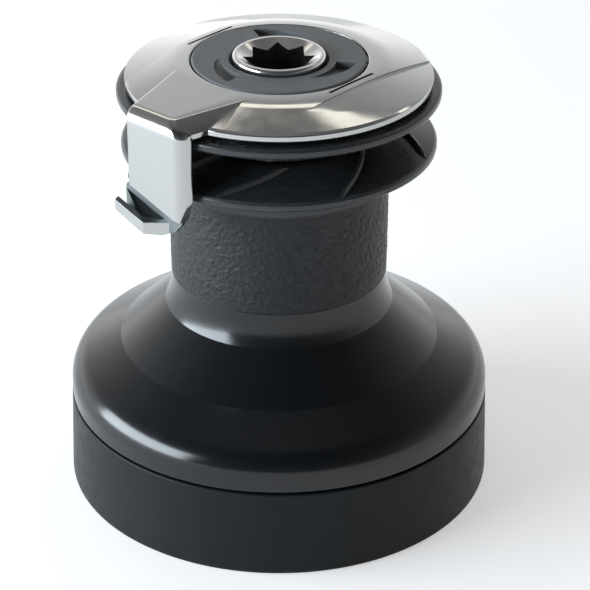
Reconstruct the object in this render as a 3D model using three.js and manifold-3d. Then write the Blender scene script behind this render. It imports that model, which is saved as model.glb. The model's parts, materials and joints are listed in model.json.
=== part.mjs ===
// Two-speed self-tailing sailboat winch. Millimetres, +Z up, origin under the centre of the base.
import * as THREE from 'three';
import { mergeVertices } from 'three/addons/utils/BufferGeometryUtils.js';
import Module from 'manifold-3d';

const wasm = await Module();
wasm.setup();

// ---------------------------------------------------------------- driving dimensions
const gap = 0.3; // between pieces that touch
const around = 36; // flat sides on a large round piece
const aroundSmall = 16; // flat sides on a small round piece
const aroundStem = 24; // flat sides on the stem and what it carries
const aroundHole = 10; // flat sides on screws, rollers and their holes

// base and drum skirt
const skirtRadius = 75.3;
const baseFlare = 1.3; // how far the foot of the base stands out past the drum skirt
const seamHeight = 32; // where the drum skirt starts above the base
const seamGap = 0.6;
const baseSkirtWall = 3.5;
const plateThickness = 5;
const mountInset = 13.3; // circle of the deck bolts inside the drum skirt
const drumWall = 3.8;
const shoulderStart = 5.5; // straight band of the drum skirt above the seam
const shoulderRadius = 10.4;
const flareRadius = 26.5; // hollow curve from the skirt up to the barrel
const flareSlope = 29.4; // degrees, of the cone between the shoulder and the flare
const barrelLength = 38.1;

// handle socket, and what is stacked outwards from it
const socketTip = 12.45; // two crossed squares, 17.6 across the flats
const socketDepth = 31;
const headWall = 3.55;
const headClearance = 0.6;
const stemWall = 3.4;
const rollerRadius = 2.6;
const rollerPlay = 0.2;
const neckLedge = 1.9; // drum web standing in from the bore of the neck
const neckWall = 5.5;
const barrelStep = 5.3;
const shaftRadius = 9;

// rope jaws
const jawTravel = 3;
const neckHeight = 25;
const upperJawRadius = 55.6;
const lowerJawInset = 1.1; // rim of the lower jaw inside the rim of the upper one
const grooveGap = 5.8; // between the jaws at the floor of the rope groove
const jawFall = 4.8; // from the floor of the groove down to the rim of the lower jaw
const jawRise = 5.2; // from the floor of the groove up to the rim of the upper jaw
const jawRibs = 8;
const jawRibSweep = 52; // degrees from radial, the outer end leading clockwise
const jawRibStart = 26.5; // degrees round from +X to the middle of a rib of the lower jaw
const jawScrewRadius = 1.5;
const jawScrewHead = 2.4;

// cover, arm and cap
const coverInset = 2.9; // cover rim inside the rim of the upper jaw
const coverRise = 8.3; // underside of the cover above the neck of the drum
const coverRim = 3; // height of the rim of the cover
const coverCrown = 7.7; // height of the cover at the cap
const capWidth = 10;
const armAngle = 228; // degrees round from +X
const armLeft = 12;
const armRight = 13;
const armThickness = 4.3;
const armClearance = 1.4; // to the rim of the upper jaw
const armFootDrop = 29; // outer face of the arm, from the cover down to the rope ramp
const rampSlope = 18; // degrees

// gear train
const ringTeeth = 64;
const slowSpindleTeeth = 12;
const fastSpindleTeeth = 20;
const secondGearTeeth = 28;
const secondPinionTeeth = 24;
const idlerTeeth = 12;
const firstGearTeeth = 14;
const firstPinionTeeth = 21;
const pressureAngle = 25;
const backlash = 0.35;
const ringRim = 4.6; // metal outside the tooth roots of the ring
const pinionWidth = 9;
const levelGap = 2;
const secondAngle = 75; // where the second-speed gears sit, degrees round from +X
const firstAngle = 235; // where the first-speed gears sit
const secondRatchetTeeth = 19;
const firstRatchetTeeth = 16;

// pins, bolts, bushes and holes
const secondPinRadius = 5;
const firstPinRadius = 4;
const idlerPinRadius = 3.5;
const pinFloor = 1.7; // metal left under the pins
const pinWall = 7; // of a boss round a pin
const drainRadius = 6;
const mountHole = 4.25;
const stemBoltRadius = 3;
const stemBoltReach = 13;
const stemBoltHead = { radius: 5, height: 4 };
const bushLength = 12;
const washerThickness = 1;
const capRecess = 1.6;

// ---------------------------------------------------------------- worked-out sizes
const rad = THREE.MathUtils.degToRad;
const addendum = 1;
const dedendum = 1.25;
const drumBottom = seamHeight + gap;
const skirtBore = skirtRadius - drumWall;
const ringOuter = skirtBore - 0.4;
const module = (ringOuter - ringRim) / (ringTeeth / 2 + dedendum);
const pitchRadius = (teeth) => (module * teeth) / 2;
const rootRadius = (teeth) => pitchRadius(teeth) - dedendum * module;
const tipRadius = (teeth) => pitchRadius(teeth) + addendum * module;

const lowLevel = plateThickness + 3;
const highLevel = drumBottom;
const carrierSpace = 4.3;
const gearWidth = (highLevel - lowLevel - levelGap - carrierSpace) / 2;
const midLevel = lowLevel + gearWidth + levelGap;
const highTop = highLevel + pinionWidth;
const footBottom = highTop + 2.2;
const footThickness = 5;
const footTop = footBottom + footThickness;
const pillarCircle = 22 * module;
const pillarRadius = 7;
const footRadius = pillarCircle + 8;
const pillarAngles = [15, 135, 185, 305];
const mountAngles = [39, 111, 183, 255, 327];
const mountCircle = skirtRadius - mountInset;

const headRadius = socketTip + headWall;
const headBore = headRadius + headClearance;
const stemRadius = headBore + stemWall;
const webBore = stemRadius + 2 * (rollerRadius + rollerPlay);
const neckBore = webBore + neckLedge;
const neckRadius = neckBore + neckWall;
const drumRadius = neckRadius + barrelStep;
const stemBore = shaftRadius + 3;
const collarRadius = neckBore - 0.5;

const raceLength = 11;
const shoulderHeight = seamHeight + shoulderStart;
const coneNormal = rad(90 - flareSlope);
const curveRadii = shoulderRadius + flareRadius;
const curveApart = drumRadius + flareRadius - (skirtRadius - shoulderRadius);
const coneLength = (curveRadii * Math.cos(coneNormal) - curveApart) / Math.sin(coneNormal);
const flareTop = shoulderHeight + curveRadii * Math.sin(coneNormal) + coneLength * Math.cos(coneNormal);
const barrelTop = flareTop + barrelLength;
const lowerRace = flareTop - 7;
const upperRace = barrelTop - 1;
const neckTop = barrelTop + neckHeight;
const coverBottom = neckTop + coverRise;
const coverRadius = upperJawRadius - coverInset;
const coverTop = coverBottom + coverCrown;
const coverSeat = coverBottom + 4;
const capRadius = stemRadius + capWidth;
const capTop = coverTop + 0.2;
const stemTop = coverSeat + 1.2;
const lipTop = coverTop + 1.9;
const headBottom = lipTop - socketDepth - 2;
const armInner = upperJawRadius + armClearance;
const armOuter = armInner + armThickness;

const secondCentre = pitchRadius(ringTeeth - secondPinionTeeth);
const firstCentre = pitchRadius(ringTeeth - firstPinionTeeth);
const idlerCentre = pitchRadius(fastSpindleTeeth + idlerTeeth);
const idlerToFirst = pitchRadius(idlerTeeth + firstGearTeeth);
const idlerSpread = THREE.MathUtils.radToDeg(Math.acos(
  (idlerCentre ** 2 + firstCentre ** 2 - idlerToFirst ** 2) / (2 * idlerCentre * firstCentre)));
const idlerAngle = firstAngle + idlerSpread;

// ---------------------------------------------------------------- making solids
const winch = new THREE.Group();

function polar(radius, degrees) {
  return new THREE.Vector2(radius * Math.cos(rad(degrees)), radius * Math.sin(rad(degrees)));
}

const secondPlace = polar(secondCentre, secondAngle);
const firstPlace = polar(firstCentre, firstAngle);
const idlerPlace = polar(idlerCentre, idlerAngle);

// A closed geometry as a manifold solid, faces pointing out.
function solid(geometry) {
  const bare = geometry.index ? geometry.toNonIndexed() : geometry.clone();
  bare.deleteAttribute('normal');
  bare.deleteAttribute('uv');
  const merged = mergeVertices(bare, 1e-4);
  const at = merged.attributes.position.array;
  const triangles = [];
  let volume = 0;
  const corner = (i) => new THREE.Vector3(at[3 * i], at[3 * i + 1], at[3 * i + 2]);
  const index = merged.index.array;
  for (let i = 0; i < index.length; i += 3) {
    const [a, b, c] = [index[i], index[i + 1], index[i + 2]];
    if (a === b || b === c || c === a) continue;
    triangles.push([a, b, c]);
    volume += corner(a).dot(corner(b).cross(corner(c)));
  }
  if (volume < 0) triangles.forEach((triangle) => triangle.reverse());
  return new wasm.Manifold(new wasm.Mesh({
    numProp: 3,
    vertProperties: new Float32Array(at),
    triVerts: new Uint32Array(triangles.flat()),
  }));
}

// A round solid about Z from a closed outline of [radius, height] points.
function turned(outline, sides = around) {
  const points = outline.map(([radius, height]) => new THREE.Vector2(radius, height));
  points.push(points[0].clone());
  return solid(new THREE.LatheGeometry(points, sides).rotateX(Math.PI / 2));
}

function disc(radius, bottom, top, sides = aroundSmall) {
  const shape = new THREE.CylinderGeometry(radius, radius, top - bottom, sides);
  shape.rotateX(Math.PI / 2);
  return solid(shape.translate(0, 0, (bottom + top) / 2));
}

function tube(outer, inner, bottom, top, sides = aroundSmall) {
  return turned([[inner, bottom], [outer, bottom], [outer, top], [inner, top]], sides);
}

function upright(shape, bottom, top) {
  const geometry = new THREE.ExtrudeGeometry(shape, {
    depth: top - bottom, bevelEnabled: false, curveSegments: 3,
  });
  return solid(geometry.translate(0, 0, bottom));
}

function joined(first, ...others) {
  return others.reduce((whole, other) => whole.add(other), first);
}

function cut(first, ...others) {
  return others.reduce((whole, other) => whole.subtract(other), first);
}

function moved(piece, place, degrees = 0) {
  return piece.rotate([0, 0, degrees]).translate([place.x, place.y, 0]);
}

function finish(colour, roughness, metalness) {
  return new THREE.MeshStandardMaterial({ color: colour, roughness, metalness });
}

const looks = {
  anodised: finish(0x23282d, 0.42, 0.6),
  band: finish(0x25292d, 0.55, 0.2),
  jaw: finish(0x15171a, 0.3, 0.1),
  chrome: finish(0xb4bac0, 0.16, 1),
  cap: finish(0x64686c, 0.6, 0.2),
  steel: finish(0xa0a4a8, 0.35, 1),
  bronze: finish(0xa07c48, 0.4, 1),
  casting: finish(0x6c7074, 0.6, 0.8),
  plastic: finish(0x2a2c2e, 0.6, 0),
  nylon: finish(0xd8d4c4, 0.6, 0),
};

function add(name, piece, look, place = new THREE.Vector3(), degrees = 0) {
  const { numProp, vertProperties, triVerts } = piece.getMesh();
  const corners = new Float32Array(triVerts.length * 3);
  triVerts.forEach((vertex, i) => {
    for (let k = 0; k < 3; k += 1) corners[3 * i + k] = vertProperties[numProp * vertex + k];
  });
  const geometry = new THREE.BufferGeometry();
  geometry.setAttribute('position', new THREE.BufferAttribute(corners, 3));
  geometry.computeVertexNormals();
  const mesh = new THREE.Mesh(mergeVertices(geometry), look);
  mesh.name = name;
  mesh.position.set(place.x, place.y, place.z ?? 0);
  mesh.rotation.z = rad(degrees);
  winch.add(mesh);
}

// ---------------------------------------------------------------- gear teeth
const involute = (angle) => Math.tan(angle) - angle;

// Outline of a toothed wheel whose first tooth points along +X. Thicker is added to each tooth.
function toothOutline(teeth, radii, thicker) {
  const pitch = pitchRadius(teeth);
  const base = pitch * Math.cos(rad(pressureAngle));
  const half = Math.PI / (2 * teeth) + thicker / (2 * pitch) + involute(rad(pressureAngle));
  const halfAt = (radius) => half - involute(Math.acos(base / Math.max(base, radius)));
  const points = [];
  for (let tooth = 0; tooth < teeth; tooth += 1) {
    const middle = (2 * Math.PI * tooth) / teeth;
    const place = (radius, side) => {
      const angle = middle + side * halfAt(radius);
      points.push(new THREE.Vector2(radius * Math.cos(angle), radius * Math.sin(angle)));
    };
    radii.forEach((radius) => place(radius, -1));
    [...radii].reverse().forEach((radius) => place(radius, 1));
  }
  return new THREE.Shape(points);
}

function wheelOutline(teeth) {
  const pitch = pitchRadius(teeth);
  const flank = teeth < 20 ? [pitch - 0.5 * module, pitch + 0.2 * module] : [pitch];
  const radii = [rootRadius(teeth), ...flank, tipRadius(teeth)];
  return toothOutline(teeth, radii, -backlash);
}

function wheel(teeth, bottom, top) {
  return upright(wheelOutline(teeth), bottom, top);
}

// Where the first tooth of a wheel points so that it meshes with its neighbour. Share is how far,
// in teeth, the neighbour's tooth is past the line of centres.
function share(teeth, firstTooth, towards) {
  return ((towards - firstTooth) * teeth) / 360;
}

function outsideMesh(teeth, towards, neighbourShare) {
  return towards - ((0.5 - neighbourShare) * 360) / teeth;
}

function insideMesh(teeth, towards, neighbourShare) {
  return towards - (neighbourShare * 360) / teeth;
}

const firstToIdler = idlerPlace.clone().sub(firstPlace);
const idlerBearing = THREE.MathUtils.radToDeg(Math.atan2(firstToIdler.y, firstToIdler.x));
const phase = { slowSpindle: 0, firstGear: 0 };
phase.secondPinion = insideMesh(secondPinionTeeth, secondAngle, share(ringTeeth, 0, secondAngle));
phase.firstPinion = insideMesh(firstPinionTeeth, firstAngle, share(ringTeeth, 0, firstAngle));
phase.secondGear = outsideMesh(secondGearTeeth, secondAngle + 180,
  share(slowSpindleTeeth, phase.slowSpindle, secondAngle));
phase.idler = outsideMesh(idlerTeeth, idlerBearing + 180,
  share(firstGearTeeth, phase.firstGear, idlerBearing));
phase.fastSpindle = outsideMesh(fastSpindleTeeth, idlerAngle,
  share(idlerTeeth, phase.idler, idlerAngle + 180));

// ---------------------------------------------------------------- ratchets
// A ring with inward teeth round a hub that carries pawls. Turn is 1 where the pawls point
// anticlockwise, and -1 where they point clockwise. Everything is about the ring's own centre.
function ratchet({ root, teeth, wall, depth, heel, tip, length, swing, turn }) {
  const valley = root - wall;
  const crest = valley - depth;
  const hub = crest - 0.4;
  const pivot = hub - 0.7 - heel;
  const tipCentre = valley - 1.28 * (tip + gap);
  const lean = Math.asin((tipCentre ** 2 - pivot ** 2 - length ** 2) / (2 * pivot * length));
  const spread = Math.acos((pivot ** 2 + tipCentre ** 2 - length ** 2) / (2 * pivot * tipCentre));
  const degrees = THREE.MathUtils.radToDeg;
  const faceTurn = degrees((depth * Math.tan(lean + spread)) / valley);
  const nudge = degrees(0.16 / valley);
  const firstValley = turn * (degrees(spread) + nudge);
  const points = [];
  for (let i = 0; i < teeth; i += 1) {
    const angle = firstValley + (360 * i) / teeth;
    const pair = [polar(valley, angle), polar(crest, angle + turn * faceTurn)];
    points.push(...(turn > 0 ? pair : pair.reverse()));
  }
  return {
    hub, pivot, heel, tip, length, swing, turn, valley,
    outline: points,
    engaged: turn * (90 - degrees(lean)),
  };
}

const secondRatchet = ratchet({
  root: rootRadius(secondGearTeeth), teeth: secondRatchetTeeth, wall: 3.5, depth: 1.8,
  heel: 2.4, tip: 0.7, length: 8, swing: 20, turn: 1,
});
const firstRatchet = ratchet({
  root: rootRadius(firstPinionTeeth), teeth: firstRatchetTeeth, wall: 3.1, depth: 1.5,
  heel: 1.9, tip: 0.6, length: 6, swing: 20, turn: -1,
});

// A pawl lies along +X from its heel at the origin.
function pawlOutline(heel, tip, length) {
  const side = Math.acos((heel - tip) / length);
  const shape = new THREE.Shape();
  shape.absarc(length, 0, tip, -side, side, false);
  shape.absarc(0, 0, heel, side, 2 * Math.PI - side, false);
  return shape;
}

// A strip beside the pawl's inner flank, from one offset to another.
function flankStrip({ heel, tip, length, turn }, start, end, near, far) {
  const side = Math.acos((heel - tip) / length);
  const out = new THREE.Vector2(Math.cos(side), turn * Math.sin(side));
  const along = new THREE.Vector2(Math.sin(side), -turn * Math.cos(side));
  const at = (run, off) => along.clone().multiplyScalar(run).addScaledVector(out, heel + off);
  return new THREE.Shape([at(start, near), at(end, near), at(end, far), at(start, far)]);
}

// Pivot angles of the two pawls, a whole number of teeth apart.
const secondPawlAngles = [0, (360 * 9) / secondRatchetTeeth];
const firstPawlAngles = [0, 180];

// Where a pawl sits in its hub when it is turned back from the ratchet by some degrees.
function seat(piece, layout, pivotAngle, back) {
  const turnedBack = layout.engaged + layout.turn * back;
  return moved(piece.rotate([0, 0, turnedBack]), new THREE.Vector2(layout.pivot, 0))
    .rotate([0, 0, pivotAngle]);
}

function pawlPockets(layout, angles, bottom, top) {
  const roomy = pawlOutline(layout.heel + 0.2, layout.tip + 0.3, layout.length);
  const prism = upright(roomy, bottom, top);
  const recess = upright(flankStrip(layout, 0.1 * layout.length, 0.95 * layout.length, 0, 1.2),
    bottom, top);
  const pockets = [];
  const steps = 2;
  angles.forEach((angle) => {
    for (let i = 0; i <= steps; i += 1) {
      pockets.push(seat(prism, layout, angle, (layout.swing * i) / steps));
    }
    pockets.push(seat(recess, layout, angle, layout.swing));
  });
  return joined(...pockets);
}

function addPawls(label, layout, angles, place, bottom, top, restBack) {
  const pawl = upright(pawlOutline(layout.heel, layout.tip, layout.length), bottom, top);
  const leaf = upright(
    flankStrip(layout, 0.2 * layout.length, 0.85 * layout.length, 0.5, 0.9), bottom + 1, top - 1);
  angles.forEach((angle, i) => {
    add(`${label}_pawl_${i + 1}`, seat(pawl, layout, angle, restBack), looks.steel, place);
    add(`${label}_pawl_spring_${i + 1}`, seat(leaf, layout, angle, layout.swing), looks.steel, place);
  });
}

// ---------------------------------------------------------------- base
function makeBase() {
  const baseTop = seamHeight + gap - seamGap;
  const inner = skirtRadius + 0.2 - baseSkirtWall;
  add('base_skirt', turned([
    [inner, 0], [skirtRadius + baseFlare, 0], [skirtRadius + baseFlare, 1.5],
    [skirtRadius + 0.2, baseTop - 0.8], [skirtRadius - 0.6, baseTop], [inner, baseTop],
  ]), looks.band);

  const secondBoss = rootRadius(secondGearTeeth) - 1.5;
  const pins = [
    { place: secondPlace, boss: secondBoss, bossTop: lowLevel - gap, hole: secondPinRadius + gap },
    { place: firstPlace, boss: 2 * firstPinRadius, bossTop: midLevel - gap, hole: firstPinRadius + gap },
    { place: idlerPlace, boss: 2 * idlerPinRadius, bossTop: midLevel - gap, hole: idlerPinRadius + gap },
  ];
  let housing = disc(inner - gap, 0, plateThickness, around);
  pins.forEach(({ place, boss, bossTop }) => {
    housing = housing.add(moved(disc(boss, plateThickness / 2, bossTop), place));
  });
  pillarAngles.forEach((angle) => {
    const pillar = disc(pillarRadius, plateThickness / 2, footBottom - gap, aroundHole);
    const hole = disc(stemBoltRadius + gap, footBottom - stemBoltReach - 2, footBottom + 1, aroundHole);
    housing = housing.add(moved(pillar, polar(pillarCircle, angle)));
    housing = housing.subtract(moved(hole, polar(pillarCircle, angle)));
  });
  pins.forEach(({ place, hole }) => {
    housing = housing.subtract(moved(disc(hole, pinFloor, highTop), place));
  });
  mountAngles.forEach((angle) => {
    const hole = disc(mountHole, -1, plateThickness + 1, aroundHole);
    housing = housing.subtract(moved(hole, polar(mountCircle, angle)));
  });
  const drain = disc(drainRadius, -1, plateThickness + 1);
  add('gear_housing', housing.subtract(drain), looks.casting);

  const longPin = (radius) => disc(radius, pinFloor + gap, footTop);
  add('second_gear_pin', longPin(secondPinRadius), looks.steel, secondPlace);
  add('first_gear_pin', longPin(firstPinRadius), looks.steel, firstPlace);
  const idlerHead = midLevel + gearWidth + gap;
  add('idler_pin', joined(disc(idlerPinRadius, pinFloor + gap, idlerHead + 0.5),
    disc(idlerPinRadius + 1.5, idlerHead, idlerHead + 1.6)), looks.steel, idlerPlace);
}

// ---------------------------------------------------------------- stem and what it carries
function makeStem() {
  const washerBottom = headBottom - gap - washerThickness;
  const ledge = washerBottom - gap;
  const coneTop = footTop + 8;
  let stem = turned([
    [stemBore, footBottom], [footRadius, footBottom], [footRadius, footTop],
    [stemRadius + 10, footTop], [stemRadius + 5.5, footTop + 2.5], [stemRadius + 4, coneTop],
    [stemRadius + 4, lowerRace - gap], [stemRadius, lowerRace - gap], [stemRadius, stemTop],
    [headBore, stemTop], [headBore, ledge], [stemBore, ledge],
  ], aroundStem);
  const clearOfFoot = highTop + gap;
  const firstBoss = rootRadius(firstPinionTeeth) - 4.5;
  stem = stem.add(moved(disc(secondPinRadius + pinWall, clearOfFoot, footBottom + 1), secondPlace));
  stem = stem.add(moved(disc(firstBoss, clearOfFoot, footBottom + 1), firstPlace));
  stem = stem.subtract(moved(disc(secondPinRadius + gap, highLevel, footTop + 1), secondPlace));
  stem = stem.subtract(moved(disc(firstPinRadius + gap, highLevel, footTop + 1), firstPlace));
  pillarAngles.forEach((angle) => {
    const hole = disc(stemBoltRadius + gap, footBottom - 1, footTop + 1, aroundHole);
    stem = stem.subtract(moved(hole, polar(pillarCircle, angle)));
  });
  add('centre_stem', stem, looks.casting);

  pillarAngles.forEach((angle, i) => {
    const bolt = joined(disc(stemBoltRadius, footBottom - stemBoltReach, footTop + 1, aroundHole),
      disc(stemBoltHead.radius, footTop + gap, footTop + gap + stemBoltHead.height, 6));
    add(`stem_bolt_${i + 1}`, bolt, looks.steel, polar(pillarCircle, angle));
  });

  const bushBottom = footBottom + 3;
  const bush = (bottom) => tube(stemBore - gap, shaftRadius + gap, bottom, bottom + bushLength);
  add('lower_spindle_bush', bush(bushBottom), looks.nylon);
  add('upper_spindle_bush', bush(ledge - bushLength - 2), looks.nylon);
  add('thrust_washer', tube(headBore - 0.5, shaftRadius + gap, washerBottom, washerBottom + washerThickness),
    looks.nylon);
  add('bearing_spacer', tube(stemRadius + 2.6, stemRadius + gap,
    lowerRace + raceLength + gap, upperRace - gap, aroundStem), looks.plastic);

  const collarBottom = upperRace + raceLength + 0.5;
  add('stem_collar', turned([
    [stemRadius + gap, collarBottom], [collarRadius, collarBottom], [collarRadius, collarBottom + 3],
    [stemRadius + 4, collarBottom + 4.5], [stemRadius + 4, coverBottom - gap],
    [stemRadius + gap, coverBottom - gap],
  ], aroundStem), looks.steel);
}

// ---------------------------------------------------------------- drum and jaws
// Outline of the drum skirt, moved inwards by inset: points from the seam up to the barrel.
function skirtCurve(inset, steps) {
  const low = new THREE.Vector2(skirtRadius - shoulderRadius, shoulderHeight);
  const high = new THREE.Vector2(drumRadius + flareRadius, flareTop);
  const points = [];
  for (let i = 0; i <= steps; i += 1) {
    const angle = (coneNormal * i) / steps;
    const radius = shoulderRadius - inset;
    points.push([low.x + radius * Math.cos(angle), low.y + radius * Math.sin(angle)]);
  }
  for (let i = 0; i <= steps; i += 1) {
    const angle = coneNormal * (1 - i / steps);
    const radius = flareRadius + inset;
    points.push([high.x - radius * Math.cos(angle), high.y - radius * Math.sin(angle)]);
  }
  return points;
}

const screwCircle = (neckRadius + neckBore) / 2;
const screwAngles = [90, 210, 330];

function makeDrum() {
  const outer = skirtCurve(0, 4);
  const inner = skirtCurve(drumWall, 2).filter(([, height]) => height < lowerRace).reverse();
  const inside = drumRadius - drumWall - 0.5;
  const raceTop = lowerRace + raceLength;
  let drum = turned([
    [skirtRadius, drumBottom], ...outer, [drumRadius, barrelTop], [neckRadius, barrelTop],
    [neckRadius, neckTop], [neckBore, neckTop], [neckBore, upperRace + raceLength],
    [webBore, upperRace + raceLength], [webBore, upperRace], [inside, upperRace - 3],
    [inside, raceTop + 3], [webBore, raceTop], [webBore, lowerRace],
    ...inner, [skirtBore, drumBottom],
  ]);
  screwAngles.forEach((angle) => {
    const hole = disc(jawScrewRadius + gap / 2, neckTop - 9, neckTop + 1, 8);
    drum = drum.subtract(moved(hole, polar(screwCircle, angle)));
  });
  add('drum', drum, looks.anodised);

  const chamferStart = shoulderHeight;
  const ringTop = highTop - gap;
  const pitch = pitchRadius(ringTeeth);
  const rim = turned([
    [pitch - addendum * module, drumBottom + 0.5], [ringOuter, drumBottom + 0.5],
    [ringOuter, chamferStart],
    [ringOuter - 0.36 * (ringTop - chamferStart), ringTop], [pitch - addendum * module, ringTop],
  ]);
  const radii = [pitch - addendum * module, pitch + dedendum * module];
  const spaces = upright(toothOutline(ringTeeth, radii, backlash), drumBottom, highTop);
  add('drum_gear_ring', cut(rim, spaces), looks.bronze);
}

// Ribs on a cone between two radii, swept round from radial. First is where the first one's middle is.
function jawRibBars(inner, outer, heightInner, heightOuter, first) {
  const slope = Math.atan2(heightOuter - heightInner, outer - inner);
  const middle = (inner + outer) / 2;
  const bars = [];
  for (let i = 0; i < jawRibs; i += 1) {
    const bar = new THREE.BoxGeometry(0.9 * (outer - inner), 2, 2.4);
    bar.rotateZ(rad(-jawRibSweep));
    bar.rotateY(-slope);
    bar.translate(middle, 0, (heightInner + heightOuter) / 2);
    bar.rotateZ(rad(first + (360 * i) / jawRibs));
    bars.push(solid(bar));
  }
  return bars;
}

const grooveFloor = neckRadius + 3;
const upperFloor = neckTop - 1.2;
const upperFace = { floor: upperFloor, rim: upperFloor + jawRise };
const lowerFloor = upperFloor - grooveGap;
const lowerFace = { floor: lowerFloor, rim: lowerFloor - jawFall };

function makeJaws() {
  const bore = neckRadius + 0.35;
  const hubBottom = barrelTop + jawTravel + 0.5;
  const skirtInner = drumRadius + 0.6;
  const rim = upperJawRadius - lowerJawInset;
  const lowerBody = turned([
    [bore, hubBottom], [bore, lowerFace.floor - 0.4], [grooveFloor, lowerFace.floor],
    [rim - 1.1, lowerFace.rim], [rim, lowerFace.rim - 1], [rim, lowerFace.rim - 2.6],
    [rim - 1.5, lowerFace.rim - 3.6], [drumRadius + 6, barrelTop + 6.5],
    [skirtInner + 2.1, barrelTop + 4.6], [skirtInner + 2.1, barrelTop + 0.8],
    [skirtInner, barrelTop + 0.8], [skirtInner, hubBottom],
  ]);
  const lowerRibs = jawRibBars(
    grooveFloor + 3, rim - 2, lowerFace.floor - 0.6, lowerFace.rim + 0.4, jawRibStart);
  let lower = joined(lowerBody, ...lowerRibs);
  const springCircle = neckRadius + 3.4;
  const coil = { radius: 1.6, wire: 0.42, turns: 4, bottom: barrelTop + 0.7, top: hubBottom + 7.4 };
  [30, 150, 270].forEach((angle, i) => {
    const place = polar(springCircle, angle);
    lower = lower.subtract(moved(disc(2.3, hubBottom - 1, coil.top + 0.8, aroundHole), place));
    add(`jaw_spring_${i + 1}`, coilSpring(coil), looks.steel, place);
  });
  add('lower_jaw', lower, looks.jaw);

  const top = upperJawRadius;
  const hubTop = neckTop + 4;
  const upperBody = turned([
    [neckBore + gap, neckTop + gap], [bore, neckTop + gap], [bore, upperFace.floor],
    [grooveFloor, upperFace.floor], [top - 1, upperFace.rim], [top, upperFace.rim + 0.9],
    [top, neckTop + 6.6], [top - 0.8, neckTop + 7.3], [top - 5.6, neckTop + 7],
    [grooveFloor + 1.5, neckTop + 5.2], [grooveFloor + 0.5, hubTop], [neckBore + gap, hubTop],
  ]);
  const upperRibs = jawRibBars(
    grooveFloor + 3, top - 2, upperFace.floor + 0.8, upperFace.rim - 0.4, jawRibStart + 180 / jawRibs);
  let upper = joined(upperBody, ...upperRibs);
  screwAngles.forEach((angle, i) => {
    const place = polar(screwCircle, angle);
    upper = upper.subtract(moved(disc(jawScrewRadius + gap, neckTop - 1, hubTop + 1, 8), place));
    const screw = joined(disc(jawScrewRadius, neckTop - 8, hubTop + 0.5, 8),
      disc(jawScrewHead, hubTop + gap, hubTop + 2.1, aroundHole));
    add(`jaw_screw_${i + 1}`, screw, looks.steel, place);
  });
  add('upper_jaw', upper, looks.jaw);
}

function coilSpring({ radius, wire, turns, bottom, top }) {
  class Helix extends THREE.Curve {
    getPoint(t, target = new THREE.Vector3()) {
      const angle = 2 * Math.PI * turns * t;
      return target.set(radius * Math.cos(angle), radius * Math.sin(angle), bottom + (top - bottom) * t);
    }
  }
  const section = new THREE.Shape();
  section.absarc(0, 0, wire, 0, 2 * Math.PI, false);
  const geometry = new THREE.ExtrudeGeometry(section, {
    steps: turns * 6, curveSegments: 2, bevelEnabled: false, extrudePath: new Helix(),
  });
  return solid(geometry);
}

// ---------------------------------------------------------------- cover, arm, stripper and cap
// The arm's own frame: X outwards through the arm, Y anticlockwise along it, Z up.
function acrossArm(shape, from, to) {
  const geometry = new THREE.ExtrudeGeometry(shape, {
    depth: to - from, bevelEnabled: false, curveSegments: 5,
  });
  const frame = new THREE.Matrix4().makeBasis(
    new THREE.Vector3(0, 1, 0), new THREE.Vector3(0, 0, 1), new THREE.Vector3(1, 0, 0));
  return solid(geometry.applyMatrix4(frame).translate(from, 0, 0));
}

function alongArm(shape, from, to, slope) {
  const geometry = new THREE.ExtrudeGeometry(shape, { depth: to - from, bevelEnabled: false });
  const frame = new THREE.Matrix4().makeBasis(
    new THREE.Vector3(1, 0, 0), new THREE.Vector3(0, 0, 1), new THREE.Vector3(0, -1, 0));
  return solid(geometry.applyMatrix4(frame).translate(0, to, 0).rotateX(rad(slope)));
}

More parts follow.
